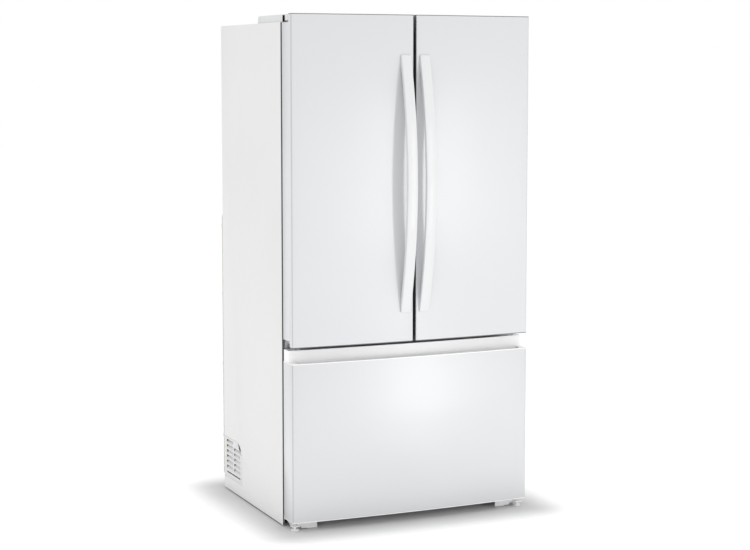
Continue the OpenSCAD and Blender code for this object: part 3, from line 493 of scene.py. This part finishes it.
def light_pool(t):
    """1 on the bar of floor in front that glows as a painted pool of light, whose reflection lies
    on the drawer, 0 around it.
    """
    turn = math.radians(23.9)
    middle = -0.118
    side_fade = (0.08, 0.3)
    start_fade = (1.1, 1.5)
    across = t.add("ShaderNodeVectorMath", operation="DOT_PRODUCT")
    along = t.add("ShaderNodeVectorMath", operation="DOT_PRODUCT")
    across.inputs[1].default_value = (math.cos(turn), math.sin(turn), 0.0)
    along.inputs[1].default_value = (math.sin(turn), -math.cos(turn), 0.0)
    t.join(t.place, across.inputs[0])
    t.join(t.place, along.inputs[0])
    off = t.math("ABSOLUTE", t.math("SUBTRACT", across.outputs["Value"], middle), 0.0)
    return t.math("MULTIPLY", t.spread(off, 1.0, 0.0, side_fade),
                  t.spread(along.outputs["Value"], 0.0, 1.0, start_fade))


def add_floor():
    """Pale floor: a painted contact shadow round the object, self-lit far away, and glowing as a
    painted pool of light on the bar in front.
    """
    size = 30.0
    mesh = bpy.data.meshes.new("floor")
    mesh.from_pydata([(-size, -size, 0), (size, -size, 0), (size, size, 0), (-size, size, 0)],
                     [], [(0, 1, 2, 3)])
    t = Tree("floor")
    reach = t.add("ShaderNodeVectorMath", operation="LENGTH")
    t.join(t.place, reach.inputs[0])
    far = t.spread(reach.outputs["Value"], 0.0, 1.0, FAR_FADE)
    clear_of_contact_shadow = t.spread(outside_footprint(t), 0.0, 1.0, (0.0, CONTACT_SHADOW_REACH))
    clear_of_contact_shadow.node.interpolation_type = "SMOOTHSTEP"
    near_tone = t.mix(t.noise(0.6, 2.0), (0.93, 0.93, 0.93), (0.95, 0.95, 0.95))
    # Painted contact shadow: the floor's colour darkens towards the object's footprint.
    near_tone = t.mix(clear_of_contact_shadow, (CONTACT_SHADOW_TONE,) * 3, near_tone)
    tone = t.mix(far, near_tone, (0.0, 0.0, 0.0))
    sheen = t.spread(t.noise(3.0), 0.9, 0.98)
    # The floor's near glow is held back inside the painted contact shadow.
    near_glow = t.math("MULTIPLY", clear_of_contact_shadow, t.math("SUBTRACT", 1.0, far))
    # Painted pool of light: the floor glows on a bar in front, so that its reflection brightens
    # the drawer.
    glow = t.math("ADD", t.math("MULTIPLY", near_glow, NEAR_GLOW),
                  t.math("ADD", far, t.math("MULTIPLY", light_pool(t), POOL_GLOW)))
    t.join(glow, t.shader.inputs["Emission Strength"])
    mesh.materials.append(t.shade(tone, sheen, t.bump(t.noise(40.0), 0.05, 0.1 * MM),
                                  Specular_IOR_Level=0.1,
                                  Emission_Color=(1.0, 1.0, 1.0, 1.0)))
    floor = bpy.data.objects.new("floor", mesh)
    scene.collection.objects.link(floor)


def add_area(name, place, aim, size, power):
    """Soft rectangular light at a place, turned to face another place."""
    light = bpy.data.lights.new(name, "AREA")
    light.shape = "RECTANGLE"
    light.size, light.size_y = size
    light.energy = power
    lamp = bpy.data.objects.new(name, light)
    lamp.location = place
    lamp.rotation_euler = (Vector(aim) - Vector(place)).to_track_quat("-Z", "Y").to_euler()
    scene.collection.objects.link(lamp)


WORLD_FILL = 0.86


def add_world():
    """White surroundings, a little dimmer as a light than they look to the camera."""
    world = bpy.data.worlds.new("studio")
    world.use_nodes = True
    tree = world.node_tree
    fill = tree.nodes["Background"]
    fill.inputs["Color"].default_value = (1.0, 1.0, 1.0, 1.0)
    fill.inputs["Strength"].default_value = WORLD_FILL
    backdrop = tree.nodes.new("ShaderNodeBackground")
    backdrop.inputs["Color"].default_value = (1.0, 1.0, 1.0, 1.0)
    choice = tree.nodes.new("ShaderNodeMixShader")
    seen = tree.nodes.new("ShaderNodeLightPath")
    tree.links.new(seen.outputs["Is Camera Ray"], choice.inputs["Fac"])
    tree.links.new(fill.outputs[0], choice.inputs[1])
    tree.links.new(backdrop.outputs[0], choice.inputs[2])
    tree.links.new(choice.outputs[0], tree.nodes["World Output"].inputs["Surface"])
    scene.world = world


CAMERA_PLACE = (-2.5392, -5.7254, 1.5764)
CAMERA_DOWN = 5.50
CAMERA_TURN = 23.93
CAMERA_LENS = 82.54
CAMERA_SHIFT = -0.05


def add_camera():
    """Camera to the front left, looking down a little, with a small vertical shift."""
    camera = bpy.data.objects.new("camera", bpy.data.cameras.new("camera"))
    camera.data.sensor_width = 36.0
    camera.data.lens = CAMERA_LENS
    camera.data.shift_y = CAMERA_SHIFT
    camera.data.clip_end = 100.0
    camera.location = CAMERA_PLACE
    camera.rotation_euler = (math.radians(90 - CAMERA_DOWN), 0.0, math.radians(-CAMERA_TURN))
    scene.collection.objects.link(camera)
    scene.camera = camera


add_floor()
add_world()
add_area("top", (0.0, 0.4, 4.2), (0.0, 0.4, 0.0), (4.0, 4.0), 22.0)
add_area("front", (1.75, -4.0, 1.05), (0.0, -0.3, 0.95), (0.4, 2.1), 24.0)
add_area("side", (-4.2, 0.0, 1.2), (0.0, 0.0, 1.0), (2.0, 2.0), 8.0)
add_camera()
scene.view_settings.view_transform = "Standard"
scene.view_settings.look = "None"
